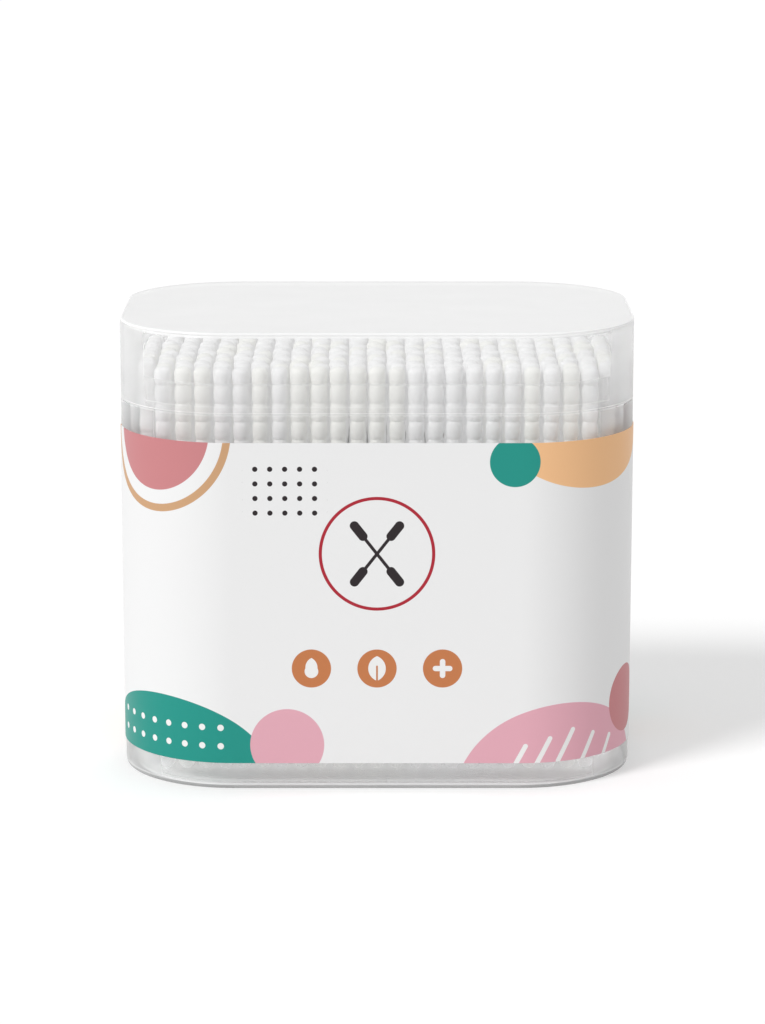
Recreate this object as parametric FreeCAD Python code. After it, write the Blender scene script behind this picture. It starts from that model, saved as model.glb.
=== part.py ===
import FreeCAD, Part
import math
import os

# A clear moulded box of cotton swabs: an oval-cornered tub with a raised floor and a thinned
# neck, a slip-over lid that sits flush on the tub's shoulder, a printed film label wrapped
# round the tub, and rows of two-headed swabs that stand on the floor.
# Millimetres, +Z up, origin on the table under the middle of the tub, +X along its length.

# Tub
box_length = 95.2
box_depth = 64.0
box_height = 85.0
corner_radius = 21.2
tub_wall = 1.7
floor_thickness = 1.0
foot_height = 0.3
foot_width = 2.4
foot_edge_chamfer = 0.8

# Neck and lid
lid_height = 15.0
lid_wall = 0.8
lid_ceiling = 1.0
lid_edge_chamfer = 0.6
lid_fit = 0.1
neck_height = 5.5
neck_edge_chamfer = 0.25
lead_in_height = 1.4
lead_in_depth = 0.3

# Label
label_thickness = 0.15
label_fit = 0.02
label_above_base = 5.0
label_below_shoulder = 5.0
label_seam_gap = 0.4

# Swabs
column_count = 25
row_count = 13
head_width = 3.2
head_spacing = 0.35
stick_width = 2.3
wall_clearance = 0.4
headroom = 6.75
upper_head_length = 16.9
lower_head_length = 13.0
head_shoulder = 1.6
tip_length = 1.3
tip_width = 1.7
sides = 4

# Heights worked out from the sizes above
shoulder_z = box_height - lid_height
neck_top_z = shoulder_z + neck_height
floor_z = foot_height + floor_thickness
ceiling_z = box_height - lid_ceiling
swab_length = ceiling_z - headroom - floor_z


def plan(inset):
    """Half length, half depth and corner radius of the tub's outline, moved in by inset."""
    return box_length / 2 - inset, box_depth / 2 - inset, corner_radius - inset


def outline(inset, z):
    """The round-cornered outline at height z, as a closed wire."""
    half_x, half_y, radius = plan(inset)
    corners = [
        (half_x - radius, half_y - radius, 0),
        (radius - half_x, half_y - radius, 90),
        (radius - half_x, radius - half_y, 180),
        (half_x - radius, radius - half_y, 270),
    ]
    arcs = []
    for x, y, start in corners:
        points = []
        for angle in (start, start + 45, start + 90):
            turn = math.radians(angle)
            points.append(FreeCAD.Vector(x + radius * math.cos(turn), y + radius * math.sin(turn), z))
        arcs.append(Part.Arc(*points).toShape())
    edges = []
    for arc, following in zip(arcs, arcs[1:] + arcs[:1]):
        edges.append(arc)
        edges.append(Part.makeLine(arc.Vertexes[-1].Point, following.Vertexes[0].Point))
    return Part.Wire(edges)


def block(inset, low, high):
    """A solid with the outline moved in by inset, from height low to height high."""
    return Part.Face(outline(inset, low)).extrude(FreeCAD.Vector(0, 0, high - low))


def edges_at(shape, z, inset):
    """The edges at height z that lie on the outline moved in by inset."""
    half_x, half_y, _ = plan(inset)
    found = []
    for edge in shape.Edges:
        box = edge.BoundBox
        level = abs(box.ZMin - z) < 1e-4 and abs(box.ZMax - z) < 1e-4
        reach_x = max(abs(box.XMin), abs(box.XMax))
        reach_y = max(abs(box.YMin), abs(box.YMax))
        if level and (abs(reach_x - half_x) < 1e-4 or abs(reach_y - half_y) < 1e-4):
            found.append(edge)
    return found


def make_tub():
    """The tub: outer wall, thinned neck above the shoulder, raised floor and foot ring."""
    neck_inset = lid_wall + lid_fit
    tub = block(0, 0, shoulder_z).fuse(block(neck_inset, shoulder_z, neck_top_z)).removeSplitter()
    tub = tub.cut(block(tub_wall, floor_z, neck_top_z))
    tub = tub.cut(block(foot_width, 0, foot_height))
    tub = tub.makeChamfer(foot_edge_chamfer, edges_at(tub, 0, 0))
    return tub.makeChamfer(neck_edge_chamfer, edges_at(tub, neck_top_z, neck_inset))


def make_lid():
    """The lid: a shallow cap with an eased top edge and a relieved mouth that leads it on."""
    lid = block(0, shoulder_z, box_height)
    lid = lid.makeChamfer(lid_edge_chamfer, edges_at(lid, box_height, 0))
    lid = lid.cut(block(lid_wall, shoulder_z, ceiling_z))
    return lid.cut(block(lid_wall - lead_in_depth, shoulder_z, shoulder_z + lead_in_height))


def make_label():
    """The printed film, wrapped round the tub with its two ends butted at the back."""
    low = label_above_base
    high = shoulder_z - label_below_shoulder
    inner = -label_fit
    outer = inner - label_thickness
    label = block(outer, low, high).cut(block(inner, low, high))
    seam = Part.makeBox(
        label_seam_gap, box_depth, high - low, FreeCAD.Vector(-label_seam_gap / 2, 0, low)
    )
    return label.cut(seam)


def lathe_solid(rings):
    """A faceted upright solid through square rings, each a height and a width across flats."""
    levels = []
    for height, width in rings:
        reach = width / 2 / math.cos(math.pi / sides)
        level = []
        for index in range(sides):
            turn = 2 * math.pi * (index + 0.5) / sides
            level.append(FreeCAD.Vector(reach * math.cos(turn), reach * math.sin(turn), height))
        levels.append(level)
    faces = []
    for level in (levels[0], levels[-1]):
        faces.append(Part.Face(Part.makePolygon(level + level[:1])))
    for lower, upper in zip(levels, levels[1:]):
        for index in range(sides):
            after = (index + 1) % sides
            quad = [lower[index], lower[after], upper[after], upper[index], lower[index]]
            faces.append(Part.Face(Part.makePolygon(quad)))
    return Part.Solid(Part.Shell(faces))


def make_outer_swab():
    """A swab that shows at the edge of the bundle, with both of its cotton heads shouldered."""
    top = floor_z + swab_length
    return lathe_solid([
        (floor_z, tip_width),
        (floor_z + tip_length, head_width),
        (floor_z + lower_head_length, stick_width),
        (top - upper_head_length, stick_width),
        (top - upper_head_length + head_shoulder, head_width),
        (top - tip_length, head_width),
        (top, tip_width),
    ])


def make_inner_swab():
    """A swab inside the bundle, with its heads as plain tapers so that it has fewer faces."""
    top = floor_z + swab_length
    return lathe_solid([
        (floor_z, head_width),
        (floor_z + lower_head_length, stick_width),
        (top - upper_head_length, stick_width),
        (top, head_width),
    ])


def centred_places(count):
    """Places for heads side by side, centred on the tub."""
    pitch = head_width + head_spacing
    return [pitch * (index - (count - 1) / 2) for index in range(count)]


def fits_in_tub(x, y):
    """True if a head centred at x, y stays inside the tub's wall by the wall clearance."""
    half_x, half_y, radius = plan(tub_wall + wall_clearance)
    reach_x = abs(x) + head_width / 2
    reach_y = abs(y) + head_width / 2
    if reach_x > half_x or reach_y > half_y:
        return False
    corner_x = max(0, reach_x - (half_x - radius))
    corner_y = max(0, reach_y - (half_y - radius))
    return math.hypot(corner_x, corner_y) <= radius


def make_swab_rows():
    """The rows of swabs, front to back, each as a group of separate solids."""
    columns = centred_places(column_count)
    depths = centred_places(row_count)
    places = [[x for x in columns if fits_in_tub(x, y)] for y in depths]
    outer_swab = make_outer_swab()
    inner_swab = make_inner_swab()
    rows = []
    for index, y in enumerate(depths):
        in_front = places[index - 1] if index > 0 else []
        behind = places[index + 1] if index + 1 < len(depths) else []
        swabs = []
        for x in places[index]:
            at_end = x in (places[index][0], places[index][-1])
            on_edge = at_end or x not in in_front or x not in behind
            swab = (outer_swab if on_edge else inner_swab).copy()
            swab.translate(FreeCAD.Vector(x, y, 0))
            swabs.append(swab)
        rows.append(Part.makeCompound(swabs))
    return rows


nodes = {"tub": make_tub(), "lid": make_lid(), "label": make_label()}
for number, row in enumerate(make_swab_rows(), 1):
    nodes["swab_row_%02d" % number] = row

os.makedirs("parts", exist_ok=True)
for name, shape in nodes.items():
    shape.exportStep("parts/" + name + ".step")
    print(name, len(shape.Solids), "solids", round(shape.Volume, 1), "mm3", shape.isValid())
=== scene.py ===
import math

import bpy
import numpy as np
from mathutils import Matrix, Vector


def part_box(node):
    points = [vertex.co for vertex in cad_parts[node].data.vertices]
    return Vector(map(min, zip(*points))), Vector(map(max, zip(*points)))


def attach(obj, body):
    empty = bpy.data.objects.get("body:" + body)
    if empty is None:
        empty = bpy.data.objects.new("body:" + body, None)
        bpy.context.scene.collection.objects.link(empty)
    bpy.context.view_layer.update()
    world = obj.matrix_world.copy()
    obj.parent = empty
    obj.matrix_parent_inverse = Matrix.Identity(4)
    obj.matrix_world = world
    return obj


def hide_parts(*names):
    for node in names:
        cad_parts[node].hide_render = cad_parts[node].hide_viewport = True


# A clear box of cotton swabs on a white floor: tub, lift-off lid, printed film and the swabs.
# Everything is in metres in the CAD model's frame, with the front of the box towards -Y.

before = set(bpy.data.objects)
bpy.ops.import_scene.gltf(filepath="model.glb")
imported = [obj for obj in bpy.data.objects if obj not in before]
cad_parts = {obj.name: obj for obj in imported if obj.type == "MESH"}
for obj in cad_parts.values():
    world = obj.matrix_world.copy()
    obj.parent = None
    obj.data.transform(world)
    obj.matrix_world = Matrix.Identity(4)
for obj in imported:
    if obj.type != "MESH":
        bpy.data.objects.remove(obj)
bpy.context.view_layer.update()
MM = 0.001

# Outline and sections of the moulded pieces
TUB_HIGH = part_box("tub")[1]
LID_LOW, LID_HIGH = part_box("lid")
LABEL_LOW, LABEL_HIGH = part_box("label")
HALF_LENGTH = TUB_HIGH.x
HALF_DEPTH = TUB_HIGH.y
CORNER_RADIUS = 21.2 * MM
CORNER_STEPS = 24
SHOULDER_Z = LID_LOW.z
NECK_TOP_Z = TUB_HIGH.z
TUB_WALL = 1.7 * MM
FLOOR_THICKNESS = 0.7 * MM
FOOT_HEIGHT = 0.25 * MM
FOOT_WIDTH = 2.4 * MM
FOOT_EASE = 0.8 * MM
FOOT_HIGHLIGHT_Z = 1.15 * MM
SHOULDER_EASE = 0.1 * MM
NECK_INSET = 0.9 * MM
NECK_EASE = 0.15 * MM
FLOOR_EASE = 0.15 * MM
LID_WALL = 0.8 * MM
LID_CEILING = 0.7 * MM
LID_TOP_EASE = 0.35 * MM
CEILING_EASE = 0.4 * MM
LEAD_IN_HEIGHT = 1.4 * MM
LEAD_IN_DEPTH = 0.3 * MM
LEAD_IN_EASE = 0.03 * MM
MOUTH_EASE = 0.1 * MM
MOUTH_HIGHLIGHT_LOW = 0.38 * MM
MOUTH_HIGHLIGHT_HIGH = 0.44 * MM
LID_CAP_MARGIN = 1.5 * MM
TUB_CAP_MARGIN = 1.2 * MM
LABEL_THICKNESS = 0.15 * MM
LABEL_SEAM = 0.4 * MM
LABEL_ROWS = 12

# Swabs
HEAD_WIDTH = 3.2 * MM
STICK_WIDTH = 2.3 * MM
COLUMNS_ACROSS = 25
RING_PITCH = 3.38 * MM
RING_COUNT = 5
RING_BULGES = (0.98, 0.96, 0.94, 0.91, 0.89)
RING_WAIST = 0.83
UPPER_HEAD_LENGTH = RING_COUNT * RING_PITCH
UPPER_DOME = 1.3 * MM
UPPER_HEAD_HEEL = 0.8 * MM
LOWER_HEAD_LENGTH = 13.0 * MM
LOWER_DOME = 1.7 * MM
LOWER_HEAD_HEEL = 0.3 * MM
SPOON_FLATNESS = 0.2
SWAB_FOOT_Z = FOOT_HEIGHT + FLOOR_THICKNESS
SWAB_TIP_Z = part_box("swab_row_01")[1].z
SWAB_LENGTH = SWAB_TIP_Z - SWAB_FOOT_Z

# How unevenly the swabs stand: the inner ones are staggered, which closes the gaps between rows
EDGE_LOOSENESS = 0.10 * MM
INNER_LOOSENESS = 0.12 * MM
ROW_STAGGER = 0.30 * MM
COLUMN_STAGGER = 0.2 * MM
SWAB_LEAN = 0.0016
SWAB_SWELL = (0.975, 1.02)
SWAB_SHRINK = (0.9975, 1.0)
TWO_LOBES = 0.010
THREE_LOBES = 0.007

# Cotton: its whites, and painted light that it emits by depth below the tips. This light lifts the
# shade between the swabs, the inner ones more the deeper they go, and brightens the feet of the
# swabs at the edge of the bundle
COOL_COTTON = (0.995, 0.995, 1.0)
WARM_COTTON = (1.0, 1.0, 0.965)
WARM_SHARE = 0.25
COTTON_LEVEL = (0.81, 0.85)
COTTON_PAINTED_GLOW = 0.36
OUTER_PAINTED_GLOW_DEPTHS = (0.8 * MM, 2.2 * MM, 71.5 * MM, 74.5 * MM)
OUTER_PAINTED_GLOW = (0.22, 0.24, 0.24, 0.90)
INNER_PAINTED_GLOW_DEPTHS = (0.8 * MM, 2.0 * MM, 4.0 * MM, 12.0 * MM)
INNER_PAINTED_GLOW = (0.22, 0.29, 0.33, 0.43)

# Clear plastic: the order of its finishes, and the share of light that it lets through. The edge
# finish is a milky white that paints highlight lines on roundings and thin bands, and the foot
# finish is a dark grey that paints the shade along the foot's rounding
EDGE_HIGHLIGHT, WALL, INSIDE, FROST, PLAIN, FOOT_SHADE = range(6)
LIGHT_PASSED = 0.9

# Inks of the printed film
TEAL = (0.014, 0.288, 0.238)
ORANGE = (0.896, 0.527, 0.270)
PINK = (0.768, 0.407, 0.479)
CORAL = (0.584, 0.227, 0.238)
MUSTARD = (0.604, 0.356, 0.192)
INK = (0.020, 0.014, 0.016)
RED = (0.42, 0.018, 0.035)
BADGE_BROWN = (0.56, 0.20, 0.075)
PAPER_WHITE = (0.87, 0.87, 0.86)
FILM_WHITE = (0.855, 0.855, 0.855)
EDGE_CRISPNESS = 16.0

# Camera, worked out from the outlines in the photo
CAMERA_PLACE = Vector((0, -645.85 * MM, 185.16 * MM))
CAMERA_PITCH = 0.2132
PHOTO_SIZE = (765, 1024)
FOCAL_PIXELS = 3465.4
BOX_CENTRE_PIXEL_X = 377

# Light
KEY_DIRECTION = Vector((0.560, 0.486, -0.672))
KEY_STRENGTH = 1.72
KEY_ANGLE = math.radians(18)
AMBIENT_LEVEL = 0.62
FLOOR_LEVEL = 0.78
FLOOR_LIFT = 0.26
FLOOR_REACH = 4.0


def outline(inset):
    """The box's outline moved in by inset, anticlockwise from the back, as x, y pairs."""
    half_x = HALF_LENGTH - CORNER_RADIUS
    half_y = HALF_DEPTH - CORNER_RADIUS
    radius = CORNER_RADIUS - inset
    points = []
    for x, y, start in ((-half_x, half_y, 90), (-half_x, -half_y, 180),
                        (half_x, -half_y, 270), (half_x, half_y, 0)):
        for step in range(CORNER_STEPS + 1):
            turn = math.radians(start + 90 * step / CORNER_STEPS)
            points.append((x + radius * math.cos(turn), y + radius * math.sin(turn)))
    return points


def eased(section, steps=5):
    """Rounds a section's corners. Each of its points is inset, height, corner radius, the
    finish of the rounding and the finish of the stretch after it."""
    result = []
    for index, (inset, z, radius, rounding, stretch) in enumerate(section):
        corner = Vector((inset, z))
        if not radius:
            result.append((corner.x, corner.y, stretch))
            continue
        before = Vector(section[index - 1][:2])
        after = Vector(section[index + 1][:2])
        start = corner + (before - corner).normalized() * radius
        end = corner + (after - corner).normalized() * radius
        for step in range(steps + 1):
            t = step / steps
            point = start * (1 - t) ** 2 + corner * (2 * t * (1 - t)) + end * t ** 2
            result.append((point.x, point.y, rounding if step < steps else stretch))
    return result


def new_piece(name, vertices, faces, materials, finishes=None, sharp=35):
    """A mesh object with smooth faces, split at edges sharper than the given angle."""
    mesh = bpy.data.meshes.new(name)
    mesh.from_pydata(vertices, [], faces)
    for material in materials:
        mesh.materials.append(material)
    if finishes is not None:
        mesh.polygons.foreach_set("material_index", finishes)
    mesh.polygons.foreach_set("use_smooth", [True] * len(mesh.polygons))
    mesh.set_sharp_from_angle(angle=math.radians(sharp))
    mesh.update()
    piece = bpy.data.objects.new(name, mesh)
    bpy.context.scene.collection.objects.link(piece)
    return piece


def moulded_shell(name, section, materials, cap_finish):
    """A moulded piece: its section carried round the box's outline, with both ends capped."""
    vertices, faces, finishes = [], [], []
    for inset, z, _ in section:
        vertices += [(x, y, z) for x, y in outline(inset)]
    around = len(outline(0))
    for level in range(len(section) - 1):
        for index in range(around):
            after = (index + 1) % around
            low, high = level * around, (level + 1) * around
            faces.append((low + index, low + after, high + after, high + index))
            finishes.append(section[level][2])
    faces.append(tuple(reversed(range(around))))
    last = (len(section) - 1) * around
    faces.append(tuple(range(last, last + around)))
    finishes += [cap_finish, cap_finish]
    return new_piece(name, vertices, faces, materials, finishes)


# Shader helpers and shared effects

def new_group(name, inputs, output):
    """A shader node group with named float or vector inputs and one output."""
    group = bpy.data.node_groups.new(name, "ShaderNodeTree")
    for label, kind, value in inputs:
        socket = group.interface.new_socket(label, in_out="INPUT", socket_type=kind)
        if value is not None:
            socket.default_value = value
    group.interface.new_socket(output[0], in_out="OUTPUT", socket_type=output[1])
    return group, group.nodes.new("NodeGroupInput"), group.nodes.new("NodeGroupOutput")


def math_node(tree, operation, first, second=None, clamp=False):
    """A math node fed by sockets or plain numbers; returns its output."""
    node = tree.nodes.new("ShaderNodeMath")
    node.operation = operation
    node.use_clamp = clamp
    for slot, value in enumerate((first, second)):
        if isinstance(value, bpy.types.NodeSocket):
            tree.links.new(value, node.inputs[slot])
        elif value is not None:
            node.inputs[slot].default_value = value
    return node.outputs[0]


def place_group(tree, group, **values):
    """Puts a node group in a tree. Values are sockets or plain values, by input name."""
    node = tree.nodes.new("ShaderNodeGroup")
    node.node_tree = group
    for label, value in values.items():
        socket = node.inputs[label.replace("_", " ")]
        if isinstance(value, bpy.types.NodeSocket):
            tree.links.new(value, socket)
        else:
            socket.default_value = value
    return node.outputs[0]


def make_soft_mottle():
    """Group: a slow variation about 1, for handling haze and uneven cotton."""
    group, entry, result = new_group(
        "soft_mottle",
        [("Scale", "NodeSocketFloat", 100.0), ("Amount", "NodeSocketFloat", 0.05)],
        ("Factor", "NodeSocketFloat"),
    )
    place = group.nodes.new("ShaderNodeTexCoord")
    noise = group.nodes.new("ShaderNodeTexNoise")
    noise.inputs["Detail"].default_value = 3.0
    group.links.new(place.outputs["Object"], noise.inputs["Vector"])
    group.links.new(entry.outputs["Scale"], noise.inputs["Scale"])
    centred = math_node(group, "SUBTRACT", noise.outputs["Fac"], 0.5)
    swing = math_node(group, "MULTIPLY", centred, entry.outputs["Amount"])
    group.links.new(math_node(group, "ADD", swing, 1.0), result.inputs[0])
    return group


def principled(name):
    """A new material with a Principled shader; returns the material, tree and shader."""
    material = bpy.data.materials.new(name)
    material.use_nodes = True
    tree = material.node_tree
    return material, tree, tree.nodes["Principled BSDF"]


def clear_plastic(name, haze, veil, level, painted_glow=0.0, roughness=0.15, blur=0.0):
    """Clear moulded plastic: see-through face on, milky by haze all over and by veil at a glancing
    angle, and as grey as its level. Blur is the share that it passes like frosted glass. It emits
    painted light as strong as painted_glow, and light on its way to the swabs passes nearly
    freely."""
    material, tree, shader = principled(name)
    shader.inputs["Base Color"].default_value = (level, level, level, 1)
    shader.inputs["Roughness"].default_value = roughness
    shader.inputs["IOR"].default_value = 1.49
    shader.inputs["Emission Color"].default_value = (1, 1, 1, 1)
    shader.inputs["Emission Strength"].default_value = painted_glow
    shader.inputs["Transmission Weight"].default_value = blur
    see_through = tree.nodes.new("ShaderNodeBsdfTransparent")
    see_through.inputs["Color"].default_value = (0.996, 0.996, 0.996, 1)
    facing = tree.nodes.new("ShaderNodeLayerWeight")
    facing.inputs["Blend"].default_value = 0.5
    glancing = math_node(tree, "POWER", facing.outputs["Facing"], 2.0)
    mottle = place_group(tree, SOFT_MOTTLE, Scale=60.0, Amount=0.15)
    milk = math_node(tree, "ADD", math_node(tree, "MULTIPLY", mottle, haze),
                     math_node(tree, "MULTIPLY", glancing, veil), clamp=True)
    path = tree.nodes.new("ShaderNodeLightPath")
    passing = math_node(tree, "MAXIMUM", path.outputs["Is Shadow Ray"],
                        path.outputs["Is Diffuse Ray"])
    kept = math_node(tree, "SUBTRACT", 1.0, math_node(tree, "MULTIPLY", passing, LIGHT_PASSED))
    mix = tree.nodes.new("ShaderNodeMixShader")
    tree.links.new(math_node(tree, "MULTIPLY", milk, kept), mix.inputs[0])
    tree.links.new(see_through.outputs[0], mix.inputs[1])
    tree.links.new(shader.outputs[0], mix.inputs[2])
    tree.links.new(mix.outputs[0], tree.nodes["Material Output"].inputs["Surface"])
    return material


def cotton_material():
    """Wound cotton: soft white with a tint of its own for each swab, fine fibres, and painted
    light that it emits as set by the swab_painted_glow attribute, which lifts its shade."""
    material, tree, shader = principled("cotton_wool")
    tint = tree.nodes.new("ShaderNodeAttribute")
    tint.attribute_name = "swab_tint"
    mottle = place_group(tree, SOFT_MOTTLE, Scale=900.0, Amount=0.06)
    shade = tree.nodes.new("ShaderNodeVectorMath")
    shade.operation = "SCALE"
    tree.links.new(tint.outputs["Color"], shade.inputs[0])
    tree.links.new(mottle, shade.inputs["Scale"])
    tree.links.new(shade.outputs[0], shader.inputs["Base Color"])
    shader.inputs["Roughness"].default_value = 0.9
    shader.inputs["Sheen Weight"].default_value = 0.2
    # Painted light: the cotton emits as much as its swab_painted_glow attribute sets
    painted_glow = tree.nodes.new("ShaderNodeAttribute")
    painted_glow.attribute_name = "swab_painted_glow"
    tree.links.new(painted_glow.outputs["Color"], shader.inputs["Emission Color"])
    shader.inputs["Emission Strength"].default_value = COTTON_PAINTED_GLOW
    fibres = tree.nodes.new("ShaderNodeTexNoise")
    fibres.inputs["Scale"].default_value = 2600.0
    fibres.inputs["Detail"].default_value = 4.0
    place = tree.nodes.new("ShaderNodeTexCoord")
    tree.links.new(place.outputs["Object"], fibres.inputs["Vector"])
    bump = tree.nodes.new("ShaderNodeBump")
    bump.inputs["Strength"].default_value = 0.35
    bump.inputs["Distance"].default_value = 0.0002
    tree.links.new(fibres.outputs["Fac"], bump.inputs["Height"])
    tree.links.new(bump.outputs[0], shader.inputs["Normal"])
    return material


def stick_material():
    """Rolled paper stick: plain white, a little smoother than the cotton."""
    material, tree, shader = principled("paper_stick")
    mottle = place_group(tree, SOFT_MOTTLE, Scale=500.0, Amount=0.05)
    shade = tree.nodes.new("ShaderNodeVectorMath")
    shade.operation = "SCALE"
    shade.inputs[0].default_value = (0.88, 0.88, 0.86)
    tree.links.new(mottle, shade.inputs["Scale"])
    tree.links.new(shade.outputs[0], shader.inputs["Base Color"])
    shader.inputs["Roughness"].default_value = 0.6
    return material


SOFT_MOTTLE = make_soft_mottle()
# Painted light: the tub's edge finish and its floor emit a little light of their own
TUB_FINISHES = [
    clear_plastic("tub_edge_painted_highlight", haze=0.40, veil=0.6, level=0.86, painted_glow=0.05),
    clear_plastic("tub_clear_wall", haze=0.20, veil=0.8, level=0.80, roughness=0.4, blur=0.7),
    clear_plastic("tub_inner_wall", haze=0.14, veil=0.8, level=0.80, roughness=0.4, blur=0.7),
    clear_plastic("tub_floor_painted_light", haze=0.65, veil=0.4, level=0.90, painted_glow=0.12),
    clear_plastic("tub_plain_rim", haze=0.20, veil=0.1, level=0.95),
    clear_plastic("tub_foot_painted_shade", haze=0.80, veil=0.3, level=0.42),
]
# The lid's edge finish is a milky white that paints highlight lines
LID_FINISHES = [
    clear_plastic("lid_edge_painted_highlight", haze=0.85, veil=0.6, level=0.93),
    clear_plastic("lid_clear_wall", haze=0.14, veil=0.8, level=0.85, roughness=0.4, blur=0.7),
    clear_plastic("lid_inner_wall", haze=0.14, veil=0.8, level=0.85, roughness=0.4, blur=0.7),
    clear_plastic("lid_frosted_top", haze=0.58, veil=0.3, level=0.85, roughness=0.35),
    clear_plastic("lid_plain_rim", haze=0.20, veil=0.1, level=0.95),
]
COTTON = cotton_material()
STICK = stick_material()


def make_tub():
    """The tub, from the recess under its floor, over foot, wall and neck, down to the floor."""
    # The foot's rounding takes a dark grey finish that paints its shade, and the band above it a
    # milky white that paints a highlight line
    section = eased([
        (FOOT_WIDTH, FOOT_HEIGHT, 0, PLAIN, PLAIN),
        (FOOT_WIDTH, 0, 0, PLAIN, FOOT_SHADE),
        (0, 0, FOOT_EASE, FOOT_SHADE, EDGE_HIGHLIGHT),
        (0, FOOT_HIGHLIGHT_Z, 0, EDGE_HIGHLIGHT, WALL),
        (0, SHOULDER_Z, SHOULDER_EASE, PLAIN, PLAIN),
        (NECK_INSET, SHOULDER_Z, 0, PLAIN, INSIDE),
        (NECK_INSET, NECK_TOP_Z, NECK_EASE, PLAIN, PLAIN),
        (TUB_WALL, NECK_TOP_Z, 0, PLAIN, INSIDE),
        (TUB_WALL, SWAB_FOOT_Z, FLOOR_EASE, INSIDE, FROST),
        (TUB_WALL + TUB_CAP_MARGIN, SWAB_FOOT_Z, 0, FROST, FROST),
    ])
    tub = moulded_shell("tub_moulding", section, TUB_FINISHES, FROST)
    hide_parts("tub")
    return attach(tub, "box")


def make_lid():
    """The lid, from its ceiling, down inside, round the mouth and up to its top. Its roundings and
    a thin band just above the mouth take the edge finish, which paints highlight lines there."""
    ceiling_z = LID_HIGH.z - LID_CEILING
    lead_in_z = SHOULDER_Z + LEAD_IN_HEIGHT
    lead_in = LID_WALL - LEAD_IN_DEPTH
    section = eased([
        (LID_WALL + LID_CAP_MARGIN, ceiling_z, 0, FROST, FROST),
        (LID_WALL, ceiling_z, CEILING_EASE, EDGE_HIGHLIGHT, INSIDE),
        (LID_WALL, lead_in_z, LEAD_IN_EASE, EDGE_HIGHLIGHT, PLAIN),
        (lead_in, lead_in_z, 0, PLAIN, INSIDE),
        (lead_in, SHOULDER_Z, 0, PLAIN, PLAIN),
        (0, SHOULDER_Z, MOUTH_EASE, PLAIN, WALL),
        (0, SHOULDER_Z + MOUTH_HIGHLIGHT_LOW, 0, EDGE_HIGHLIGHT, EDGE_HIGHLIGHT),
        (0, SHOULDER_Z + MOUTH_HIGHLIGHT_HIGH, 0, WALL, WALL),
        (0, LID_HIGH.z, LID_TOP_EASE, EDGE_HIGHLIGHT, FROST),
        (LID_CAP_MARGIN, LID_HIGH.z, 0, FROST, FROST),
    ])
    lid = moulded_shell("lid_moulding", section, LID_FINISHES, FROST)
    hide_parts("lid")
    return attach(lid, "lid")


def label_path(inset):
    """The film's path round the tub from end to end, each point with its distance in
    millimetres from the middle of the front, positive to the right."""
    points = outline(inset)
    back_y = HALF_DEPTH - inset
    seam = LABEL_SEAM / 2
    points = [(-seam, back_y)] + points + [(seam, back_y)]
    gone, places = 0.0, [0.0]
    for start, end in zip(points, points[1:]):
        gone += math.dist(start, end)
        places.append(gone)
    return points, [(place - gone / 2) / MM for place in places]


def make_label():
    """The printed film as a thin closed sleeve with butted ends, its print placed by a
    point attribute that holds millimetres across and up."""
    face = HALF_LENGTH - LABEL_HIGH.x
    outer, across = label_path(face)
    inner, _ = label_path(face + LABEL_THICKNESS)
    count = len(outer)
    vertices, places = [], []
    heights = [LABEL_LOW.z + (LABEL_HIGH.z - LABEL_LOW.z) * row / LABEL_ROWS
               for row in range(LABEL_ROWS + 1)]
    for path in (outer, inner):
        for z in heights:
            vertices += [(x, y, z) for x, y in path]
            places += [(u, z / MM, 0) for u in across]
    sheet = count * len(heights)
    faces = []
    for row in range(LABEL_ROWS):
        for index in range(count - 1):
            a = row * count + index
            faces.append((a, a + 1, a + 1 + count, a + count))
            faces.append((sheet + a, sheet + a + count, sheet + a + 1 + count, sheet + a + 1))
    top = LABEL_ROWS * count
    for index in range(count - 1):
        faces.append((index, sheet + index, sheet + index + 1, index + 1))
        faces.append((top + index, top + index + 1, sheet + top + index + 1, sheet + top + index))
    for row in range(LABEL_ROWS):
        a = row * count
        faces.append((a, a + count, sheet + a + count, sheet + a))
        b = a + count - 1
        faces.append((b, sheet + b, sheet + b + count, b + count))
    label = new_piece("printed_film", vertices, faces, [film_material()])
    attribute = label.data.attributes.new("film_place", "FLOAT_VECTOR", "POINT")
    attribute.data.foreach_set("vector", np.array(places, np.float32).ravel())
    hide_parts("label")
    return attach(label, "box")


# Print on the film: colour fields and simple signs, placed in millimetres across and up

def make_disc_field():
    """Group: 1 inside an ellipse on the film, 0 outside, with a crisp printed edge."""
    group, entry, result = new_group(
        "disc_field",
        [("Place", "NodeSocketVector", None), ("Across", "NodeSocketFloat", 0.0),
         ("Up", "NodeSocketFloat", 0.0), ("Half Width", "NodeSocketFloat", 1.0),
         ("Half Height", "NodeSocketFloat", 1.0), ("Turn", "NodeSocketFloat", 0.0)],
        ("Mask", "NodeSocketFloat"),
    )
    x, y = turned_place(group, entry)
    x = math_node(group, "DIVIDE", x, entry.outputs["Half Width"])
    y = math_node(group, "DIVIDE", y, entry.outputs["Half Height"])
    reach = math_node(group, "SQRT", math_node(
        group, "ADD", math_node(group, "MULTIPLY", x, x), math_node(group, "MULTIPLY", y, y)))
    inside = math_node(group, "SUBTRACT", 1.0, reach)
    depth = math_node(group, "MULTIPLY", inside, entry.outputs["Half Width"])
    group.links.new(printed_edge(group, depth), result.inputs[0])
    return group


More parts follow.
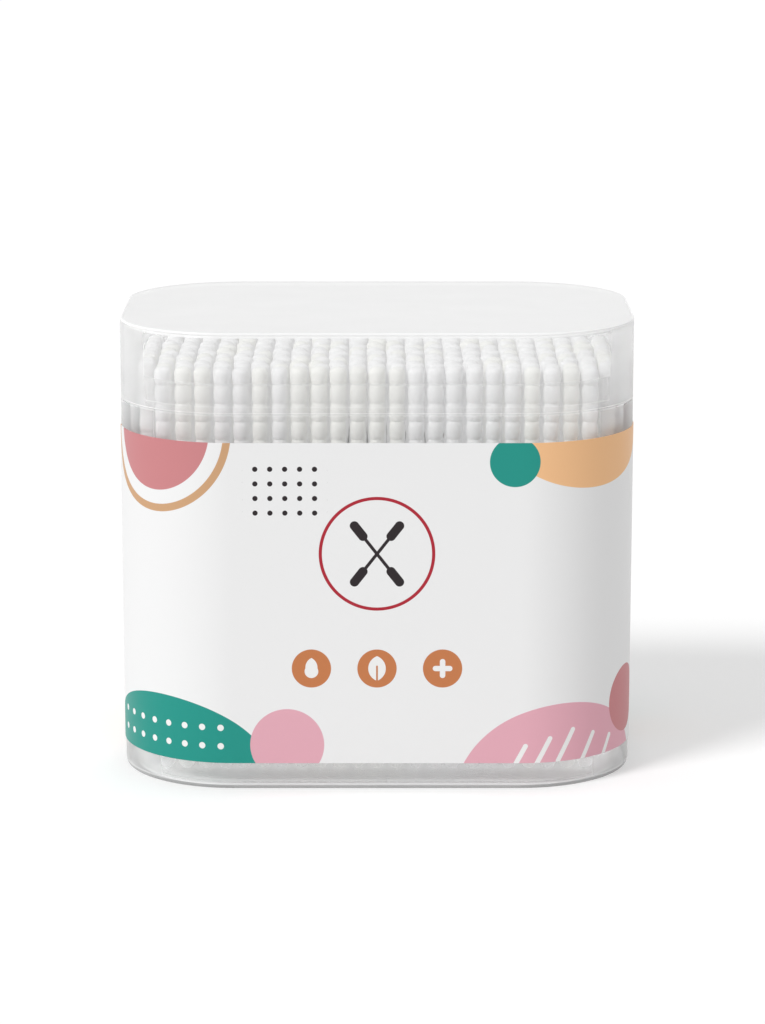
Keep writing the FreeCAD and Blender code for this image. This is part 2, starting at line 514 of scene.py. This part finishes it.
def turned_place(group, entry):
    """The place on the film seen from a shape's own centre and turn, as two sockets."""
    split = group.nodes.new("ShaderNodeSeparateXYZ")
    group.links.new(entry.outputs["Place"], split.inputs[0])
    x = math_node(group, "SUBTRACT", split.outputs["X"], entry.outputs["Across"])
    y = math_node(group, "SUBTRACT", split.outputs["Y"], entry.outputs["Up"])
    cosine = math_node(group, "COSINE", entry.outputs["Turn"])
    sine = math_node(group, "SINE", entry.outputs["Turn"])
    along = math_node(group, "ADD", math_node(group, "MULTIPLY", x, cosine),
                      math_node(group, "MULTIPLY", y, sine))
    aside = math_node(group, "SUBTRACT", math_node(group, "MULTIPLY", y, cosine),
                      math_node(group, "MULTIPLY", x, sine))
    return along, aside


def make_bar_field():
    """Group: 1 inside a round-ended bar on the film, 0 outside."""
    group, entry, result = new_group(
        "bar_field",
        [("Place", "NodeSocketVector", None), ("Across", "NodeSocketFloat", 0.0),
         ("Up", "NodeSocketFloat", 0.0), ("Half Length", "NodeSocketFloat", 1.0),
         ("Radius", "NodeSocketFloat", 0.5), ("Turn", "NodeSocketFloat", 0.0)],
        ("Mask", "NodeSocketFloat"),
    )
    along, aside = turned_place(group, entry)
    past = math_node(group, "SUBTRACT", math_node(group, "ABSOLUTE", along),
                     entry.outputs["Half Length"])
    past = math_node(group, "MAXIMUM", past, 0.0)
    reach = math_node(group, "SQRT", math_node(
        group, "ADD", math_node(group, "MULTIPLY", past, past),
        math_node(group, "MULTIPLY", aside, aside)))
    depth = math_node(group, "SUBTRACT", entry.outputs["Radius"], reach)
    group.links.new(printed_edge(group, depth), result.inputs[0])
    return group


def make_dot_field():
    """Group: 1 inside the dots of an even grid on the film, 0 between them."""
    group, entry, result = new_group(
        "dot_field",
        [("Place", "NodeSocketVector", None), ("Across", "NodeSocketFloat", 0.0),
         ("Up", "NodeSocketFloat", 0.0), ("Pitch", "NodeSocketFloat", 3.0),
         ("Radius", "NodeSocketFloat", 0.5)],
        ("Mask", "NodeSocketFloat"),
    )
    split = group.nodes.new("ShaderNodeSeparateXYZ")
    group.links.new(entry.outputs["Place"], split.inputs[0])
    squares = []
    for axis, start in (("X", "Across"), ("Y", "Up")):
        steps = math_node(group, "DIVIDE", math_node(
            group, "SUBTRACT", split.outputs[axis], entry.outputs[start]), entry.outputs["Pitch"])
        off = math_node(group, "SUBTRACT", steps, math_node(group, "ROUND", steps))
        off = math_node(group, "MULTIPLY", off, entry.outputs["Pitch"])
        squares.append(math_node(group, "MULTIPLY", off, off))
    reach = math_node(group, "SQRT", math_node(group, "ADD", *squares))
    depth = math_node(group, "SUBTRACT", entry.outputs["Radius"], reach)
    group.links.new(printed_edge(group, depth), result.inputs[0])
    return group


def printed_edge(group, depth):
    """A crisp printed edge from a depth in millimetres inside the shape's outline."""
    crisp = math_node(group, "MULTIPLY_ADD", depth, EDGE_CRISPNESS, clamp=True)
    crisp.node.inputs[2].default_value = 0.5
    return crisp


class FilmPrint:
    """Lays inks one over another on the film's white ground."""

    def __init__(self, tree):
        self.tree = tree
        place = tree.nodes.new("ShaderNodeAttribute")
        place.attribute_name = "film_place"
        self.place = place.outputs["Vector"]
        ground = tree.nodes.new("ShaderNodeRGB")
        ground.outputs[0].default_value = (*FILM_WHITE, 1)
        self.colour = ground.outputs[0]

    def disc(self, across, up, half_width, half_height=None, turn=0.0):
        """The mask of a disc or ellipse, placed in millimetres."""
        return place_group(self.tree, DISC_FIELD, Place=self.place, Across=across, Up=up,
                           Half_Width=half_width, Half_Height=half_height or half_width,
                           Turn=math.radians(turn))

    def bar(self, across, up, half_length, radius, turn=0.0):
        """The mask of a round-ended bar, placed in millimetres."""
        return place_group(self.tree, BAR_FIELD, Place=self.place, Across=across, Up=up,
                           Half_Length=half_length, Radius=radius, Turn=math.radians(turn))

    def dots(self, across, up, pitch, radius):
        """The mask of an even grid of dots, one of them at the given place."""
        return place_group(self.tree, DOT_FIELD, Place=self.place, Across=across, Up=up,
                           Pitch=pitch, Radius=radius)

    def join(self, *masks):
        """The mask of all these shapes together."""
        total = masks[0]
        for mask in masks[1:]:
            total = math_node(self.tree, "MAXIMUM", total, mask)
        return total

    def without(self, mask, hole):
        """The first mask with the second cut out of it."""
        return math_node(self.tree, "SUBTRACT", mask, hole, clamp=True)

    def within(self, mask, limit):
        """The first mask where it lies inside the second."""
        return math_node(self.tree, "MINIMUM", mask, limit)

    def ink(self, colour, mask):
        """Prints a colour where the mask is 1."""
        mix = self.tree.nodes.new("ShaderNodeMix")
        mix.data_type = "RGBA"
        self.tree.links.new(mask, mix.inputs["Factor"])
        self.tree.links.new(self.colour, mix.inputs["A"])
        mix.inputs["B"].default_value = (*colour, 1)
        self.colour = mix.outputs["Result"]


DISC_FIELD = make_disc_field()
BAR_FIELD = make_bar_field()
DOT_FIELD = make_dot_field()


def film_material():
    """The satin printed film: white ground, fields of colour and plain signs."""
    material, tree, shader = principled("satin_printed_film")
    film = FilmPrint(tree)
    print_corner_fields(film)
    print_side_fields(film)
    print_swab_emblem(film, 0, 44.5)
    print_badges(film, 23.0)
    tree.links.new(film.colour, shader.inputs["Base Color"])
    shader.inputs["Roughness"].default_value = 0.42
    shader.inputs["Specular IOR Level"].default_value = 0.25
    return material


def print_corner_fields(film):
    """Rounded fields of colour along the film's edges, some dotted, striped or ringed."""
    film.ink(ORANGE, film.disc(41, 70, 20, 14))
    film.ink(TEAL, film.disc(25, 61.5, 4.6))
    film.ink(MUSTARD, film.without(film.disc(-42, 67, 15.6), film.disc(-42, 67, 14.2)))
    film.ink(CORAL, film.disc(-42, 67, 11.6))

    film.ink(TEAL, film.disc(-41, -1, 23, 18))
    patch = film.bar(-41, 9.95, 11.0, 3.5)
    film.ink(PAPER_WHITE, film.within(film.dots(-42.75, 8.2, 3.5, 0.6), patch))
    film.ink(PINK, film.disc(-16.5, 8.5, 6.8))

    film.ink(PINK, film.disc(35, -3, 21, 19))
    stripes = [film.bar(35 + 4.6 * step, 8 - abs(step) * 1.3, 3.2, 0.45, 62)
               for step in range(-2, 3)]
    film.ink(PAPER_WHITE, film.join(*stripes))
    film.ink(CORAL, film.disc(52, 14, 6.4))
    patch = film.join(film.bar(-16.7, 58.85, 5.9, 2.1), film.bar(-16.7, 53.45, 5.9, 2.1))
    film.ink(INK, film.within(film.dots(-22.1, 57.5, 2.7, 0.48), patch))


def print_side_fields(film):
    """The same fields carried on round the ends and the back."""
    film.ink(ORANGE, film.disc(-84, 4, 17, 13))
    film.ink(TEAL, film.disc(-98, 65, 14, 11))
    film.ink(CORAL, film.disc(88, 67, 16, 12))
    film.ink(MUSTARD, film.disc(80, 7, 7.5))
    film.ink(TEAL, film.disc(104, 0, 19, 15))
    film.ink(PINK, film.disc(-122, -2, 18, 15))


def print_swab_emblem(film, across, up):
    """Two crossed swabs in a thin ring."""
    film.ink(RED, film.without(film.disc(across, up, 10.6), film.disc(across, up, 10.0)))
    for turn in (52, 128):
        lean = math.radians(turn)
        shapes = [film.bar(across, up, 5.0, 0.3, turn)]
        for end in (-5.4, 5.4):
            x, y = across + end * math.cos(lean), up + end * math.sin(lean)
            shapes.append(film.bar(x, y, 1.25, 0.85, turn))
        film.ink(INK, film.join(*shapes))


def print_badges(film, up):
    """Three small round badges in a row: a drop, a leaf and a cross."""
    for across in (-12, 0, 12):
        film.ink(BADGE_BROWN, film.disc(across, up, 3.6))
    point = film.within(film.disc(-12.9, up + 0.2, 2.0), film.disc(-11.1, up + 0.2, 2.0))
    drop = film.join(film.disc(-12, up - 0.55, 1.25), point)
    leaf = film.within(film.disc(-0.9, up, 2.5), film.disc(0.9, up, 2.5))
    cross = film.join(film.bar(12, up, 1.3, 0.5), film.bar(12, up, 1.3, 0.5, 90))
    veined_leaf = film.without(leaf, film.bar(0, up - 1.2, 1.6, 0.16, 90))
    film.ink(PAPER_WHITE, film.join(drop, veined_leaf, cross))


# Swabs

def upper_head_half_width(depth):
    """Half the width of the ringed head at a depth below its tip: rings with sharp grooves
    between them, under a dome that is flattened at the tip."""
    centre = RING_PITCH / 2
    swell = abs(math.cos(math.pi * (depth - centre) / RING_PITCH)) ** 0.5
    rings_down = np.arange(RING_COUNT) + 0.5
    bulge = HEAD_WIDTH / 2 * np.interp(depth / RING_PITCH, rings_down, RING_BULGES)
    if depth < UPPER_DOME:
        return bulge * math.sqrt(max(0.0, 1 - (1 - depth / UPPER_DOME) ** 3.0))
    return bulge * (RING_WAIST + (1 - RING_WAIST) * swell)


def swab_profile(fine):
    """A swab's section from its foot to its tip, as height, half width and flatness."""
    bottom_steps, ring_steps = (6, 8) if fine else (4, 5)
    section = []
    for step in range(bottom_steps + 1):
        turn = math.pi / 2 * step / bottom_steps
        height = LOWER_DOME * (1 - math.cos(turn))
        section.append((height, HEAD_WIDTH / 2 * math.sin(turn), SPOON_FLATNESS))
    for share in (0.3, 0.5, 0.7, 0.85, 1.0):
        height = LOWER_HEAD_LENGTH * share
        swell = 0.5 + 0.5 * math.cos(math.pi * share ** 1.6)
        half = STICK_WIDTH / 2 + (HEAD_WIDTH - STICK_WIDTH) / 2 * swell
        section.append((height, half, SPOON_FLATNESS * (1 - share)))
    section.append((LOWER_HEAD_LENGTH + LOWER_HEAD_HEEL, STICK_WIDTH / 2, 0))
    upper_heel_z = SWAB_LENGTH - UPPER_HEAD_LENGTH - UPPER_HEAD_HEEL
    section.append((upper_heel_z, STICK_WIDTH / 2, 0))
    steps = RING_COUNT * ring_steps
    for step in range(steps):
        depth = UPPER_HEAD_LENGTH * (1 - step / steps)
        section.append((SWAB_LENGTH - depth, upper_head_half_width(depth), 0))
    for depth in (0.35 * MM, 0.15 * MM, 0.05 * MM, 0.0):
        half = max(upper_head_half_width(depth), 0.02 * MM)
        section.append((SWAB_LENGTH - depth, half, 0))
    section.sort(key=lambda point: point[0])
    return np.array(section)


def swab_template(fine):
    """One swab on its own axis: its points ring by ring, the faces between the rings with
    their finishes, how many rings there are, and how many points go round each."""
    section = swab_profile(fine)
    around = 24 if fine else 14
    turns = np.arange(around) * (2 * math.pi / around)
    x = section[:, 1:2] * np.cos(turns)
    y = section[:, 1:2] * (1 - section[:, 2:3]) * np.sin(turns)
    z = np.repeat(section[:, 0:1], around, axis=1)
    points = np.stack([x, y, z], axis=2).reshape(-1, 3)
    levels = len(section)
    ring = np.arange(around)
    after = (ring + 1) % around
    quads = [np.stack([level * around + ring, level * around + after,
                       (level + 1) * around + after, (level + 1) * around + ring], axis=1)
             for level in range(levels - 1)]
    quads = np.concatenate(quads)
    middle = (section[:-1, 0] + section[1:, 0]) / 2
    stick_top = SWAB_LENGTH - UPPER_HEAD_LENGTH - 0.5 * MM
    bare = (middle > LOWER_HEAD_LENGTH) & (middle < stick_top)
    finishes = np.repeat(bare.astype(np.int32), around)
    return points, quads, finishes, levels, around


def swab_places():
    """Each row's name and its swabs' x, y places, as the rows stand in the tub."""
    rows = sorted(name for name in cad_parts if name.startswith("swab_row_"))
    boxes = {name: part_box(name) for name in rows}
    widest = max(high.x - low.x for low, high in boxes.values()) - HEAD_WIDTH
    pitch = widest / (COLUMNS_ACROSS - 1)
    places = {}
    for name in rows:
        low, high = boxes[name]
        span = high.x - low.x - HEAD_WIDTH
        count = round(span / pitch) + 1
        y = (low.y + high.y) / 2
        places[name] = [(low.x + HEAD_WIDTH / 2 + pitch * index, y) for index in range(count)]
    return places


def place_swab(points, x, y, looseness, chance):
    """One swab's points moved to its place, turned, and a little uneven as real ones are."""
    turn = chance.uniform(0, 2 * math.pi)
    lean = chance.uniform(-SWAB_LEAN, SWAB_LEAN, 2)
    x += chance.uniform(-1, 1) * looseness
    y += chance.uniform(-1, 1) * looseness
    swell = chance.uniform(*SWAB_SWELL)
    lobes = chance.uniform(0, 2 * math.pi, 2)
    angle = np.arctan2(points[:, 1], points[:, 0])
    wobble = swell * (1 + TWO_LOBES * np.sin(2 * angle + lobes[0])
                      + THREE_LOBES * np.sin(3 * angle + lobes[1]))
    px = points[:, 0] * wobble
    py = points[:, 1] * wobble
    cosine, sine = math.cos(turn), math.sin(turn)
    moved = np.empty_like(points)
    height = points[:, 2] * chance.uniform(*SWAB_SHRINK)
    moved[:, 0] = x + px * cosine - py * sine + lean[0] * height
    moved[:, 1] = y + px * sine + py * cosine + lean[1] * height
    moved[:, 2] = SWAB_FOOT_Z + height
    return moved


def swab_tint(chance):
    """A swab's own white: most are nearly neutral, some a little warm."""
    level = chance.uniform(*COTTON_LEVEL)
    tint = WARM_COTTON if chance.uniform() < WARM_SHARE else COOL_COTTON
    return [level * part for part in tint]


def make_swab_row(name, number, row_places, edge_places, chance):
    """One row of swabs as one piece. The swabs at the edge of the bundle have finer rings
    and stand in line, and the inner ones are staggered by row and column."""
    all_points, all_quads, all_finishes, all_tints, all_painted_glows, caps = [], [], [], [], [], []
    base = 0
    for column, (x, y) in enumerate(row_places):
        at_edge = (x, y) in edge_places
        points, quads, finishes, levels, around = FINE_SWAB if at_edge else PLAIN_SWAB
        # Painted light by depth below the tip: for the edge swabs strongest at their feet, for the
        # inner ones stronger deeper down, where it lifts the shade between the swabs
        if at_edge:
            points = place_swab(points, x, y, EDGE_LOOSENESS, chance)
            painted_glow = np.interp(SWAB_TIP_Z - points[:, 2], OUTER_PAINTED_GLOW_DEPTHS, OUTER_PAINTED_GLOW)
        else:
            across = ROW_STAGGER if number % 2 else -ROW_STAGGER
            along = COLUMN_STAGGER if column % 2 else -COLUMN_STAGGER
            points = place_swab(points, x + across, y + along, INNER_LOOSENESS, chance)
            painted_glow = np.interp(SWAB_TIP_Z - points[:, 2], INNER_PAINTED_GLOW_DEPTHS, INNER_PAINTED_GLOW)
        all_points.append(points)
        all_quads.append(quads + base)
        all_finishes.append(finishes)
        all_tints.append(np.tile([*swab_tint(chance), 1.0], (len(points), 1)))
        all_painted_glows.append(np.stack([painted_glow, painted_glow, painted_glow, np.ones_like(painted_glow)], axis=1))
        caps.append(list(range(base + around - 1, base - 1, -1)))
        last = base + (levels - 1) * around
        caps.append(list(range(last, last + around)))
        base += len(points)
    vertices = np.concatenate(all_points)
    faces = np.concatenate(all_quads).tolist() + caps
    finishes = np.concatenate(all_finishes).tolist() + [0] * len(caps)
    row = new_piece(name + "_wound", vertices.tolist(), faces, [COTTON, STICK], finishes)
    for label, colours in (("swab_tint", all_tints), ("swab_painted_glow", all_painted_glows)):
        attribute = row.data.attributes.new(label, "FLOAT_COLOR", "POINT")
        attribute.data.foreach_set("color", np.concatenate(colours).astype(np.float32).ravel())
    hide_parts(name)
    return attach(row, "box")


def make_swabs():
    """All the rows of swabs. One that isn't covered both in front and behind belongs to the
    edge of the bundle."""
    chance = np.random.default_rng(11)
    places = swab_places()
    names = sorted(places)
    last = len(names) - 1
    for index, name in enumerate(names):
        here = places[name]
        in_front = places[names[max(index - 1, 0)]]
        behind = places[names[min(index + 1, last)]]
        fewest = min(len(in_front), len(behind))
        hidden = (fewest - 2) / 2 if 0 < index < last else 0
        middle = (here[0][0] + here[-1][0]) / 2
        step = here[1][0] - here[0][0]
        edge = {place for place in here if abs(place[0] - middle) > (hidden - 0.5) * step}
        make_swab_row(name, index, here, edge, chance)


FINE_SWAB = swab_template(True)
PLAIN_SWAB = swab_template(False)


# Floor, light and camera

def make_floor():
    """A white floor that keeps the box's shadow; seen by the camera it is lifted to white."""
    reach = FLOOR_REACH
    vertices = [(-reach, -reach, 0), (reach, -reach, 0), (reach, reach, 0), (-reach, reach, 0)]
    material, tree, shader = principled("white_floor")
    shader.inputs["Base Color"].default_value = (FLOOR_LEVEL, FLOOR_LEVEL, FLOOR_LEVEL, 1)
    shader.inputs["Roughness"].default_value = 1.0
    shader.inputs["Specular IOR Level"].default_value = 0.0
    shader.inputs["Emission Color"].default_value = (1, 1, 1, 1)
    tree.links.new(seen_by_eye(tree, FLOOR_LIFT), shader.inputs["Emission Strength"])
    floor = new_piece("floor", vertices, [(0, 1, 2, 3)], [material])


def seen_by_eye(tree, level):
    """A value that is level for camera, mirror and glass rays, and 0 for the rest."""
    path = tree.nodes.new("ShaderNodeLightPath")
    seen = math_node(tree, "MAXIMUM", path.outputs["Is Camera Ray"], path.outputs["Is Glossy Ray"])
    seen = math_node(tree, "MAXIMUM", seen, path.outputs["Is Transmission Ray"])
    return math_node(tree, "MULTIPLY", seen, level)


def make_world():
    """Even white surroundings: plain light on the box, pure white where they are seen."""
    world = bpy.data.worlds.new("white_surroundings")
    world.use_nodes = True
    bpy.context.scene.world = world
    tree = world.node_tree
    background = tree.nodes["Background"]
    background.inputs["Color"].default_value = (1, 1, 1, 1)
    extra = seen_by_eye(tree, 1.0 - AMBIENT_LEVEL)
    tree.links.new(math_node(tree, "ADD", extra, AMBIENT_LEVEL), background.inputs["Strength"])


def make_key_light():
    """One large soft lamp from the upper left in front, whose shadow falls to the right."""
    lamp = bpy.data.lights.new("key", "SUN")
    lamp.energy = KEY_STRENGTH
    lamp.angle = KEY_ANGLE
    key = bpy.data.objects.new("key", lamp)
    key.rotation_euler = KEY_DIRECTION.to_track_quat("-Z", "Y").to_euler()
    bpy.context.scene.collection.objects.link(key)


def make_camera():
    """The photo's viewpoint."""
    lens = bpy.data.cameras.new("camera")
    lens.sensor_width = 36.0
    lens.lens = FOCAL_PIXELS / PHOTO_SIZE[1] * lens.sensor_width
    lens.shift_x = (PHOTO_SIZE[0] / 2 - BOX_CENTRE_PIXEL_X) / PHOTO_SIZE[1]
    lens.clip_start, lens.clip_end = 0.01, 20.0
    camera = bpy.data.objects.new("camera", lens)
    camera.location = CAMERA_PLACE
    camera.rotation_euler = (math.pi / 2 - CAMERA_PITCH, 0, 0)
    bpy.context.scene.collection.objects.link(camera)
    bpy.context.scene.camera = camera


make_tub()
make_lid()
make_label()
make_swabs()
make_floor()
make_world()
make_key_light()
make_camera()
bpy.context.scene.view_settings.view_transform = "Standard"
bpy.context.scene.cycles.transparent_max_bounces = 24
